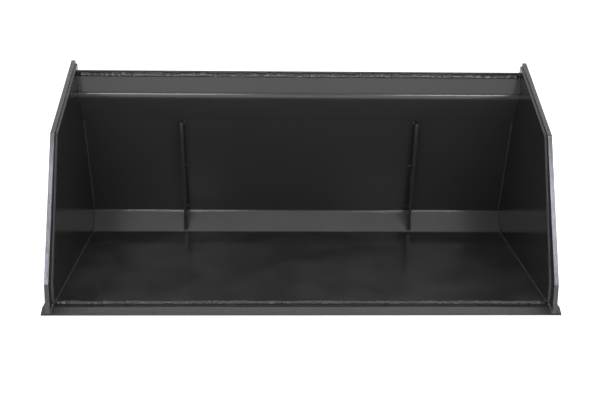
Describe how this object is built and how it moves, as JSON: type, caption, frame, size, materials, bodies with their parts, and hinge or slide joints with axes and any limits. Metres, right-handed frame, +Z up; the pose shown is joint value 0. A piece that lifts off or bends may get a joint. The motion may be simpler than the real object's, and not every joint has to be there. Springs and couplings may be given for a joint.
{
  "type": "skid steer bucket",
  "caption": "Welded steel loader bucket with a bevelled cutting edge, side cutters, boxed top lip and a rear frame for a universal quick-attach carrier.",
  "frame": {"origin": "on the ground, under the middle of the bounding box", "axes": "+X across the bucket, +Y from the cutting edge towards the machine, +Z up"},
  "size_m": [1.8288, 0.9816, 0.7797],
  "materials": {
    "shell_paint": "satin",
    "edge_paint": "satin",
    "frame_paint": "satin",
    "wear_paint": "satin"
  },
  "bodies": {
    "root": {"cutting_edge": "edge_paint", "shell_sheet": "shell_paint", "side_sheet_left": "shell_paint", "side_sheet_right": "shell_paint", "side_cutter_left": "edge_paint", "side_cutter_right": "edge_paint", "top_box_angle": "shell_paint", "inner_rib_left": "shell_paint", "inner_rib_right": "shell_paint", "upper_seat_bar": "frame_paint", "lower_seat_bar": "frame_paint", "hook_lip": "frame_paint", "pin_ledge": "frame_paint", "frame_end_plate_left": "frame_paint", "frame_end_plate_right": "frame_paint", "frame_gusset_1": "frame_paint", "frame_gusset_2": "frame_paint", "frame_gusset_3": "frame_paint", "frame_gusset_4": "frame_paint", "ledge_brace_left": "frame_paint", "ledge_brace_right": "frame_paint", "heel_wear_bar": "wear_paint", "wear_strip_1": "wear_paint", "wear_strip_2": "wear_paint", "wear_strip_3": "wear_paint", "wear_strip_4": "wear_paint", "wear_strip_5": "wear_paint"}
  },
  "joints": []
}
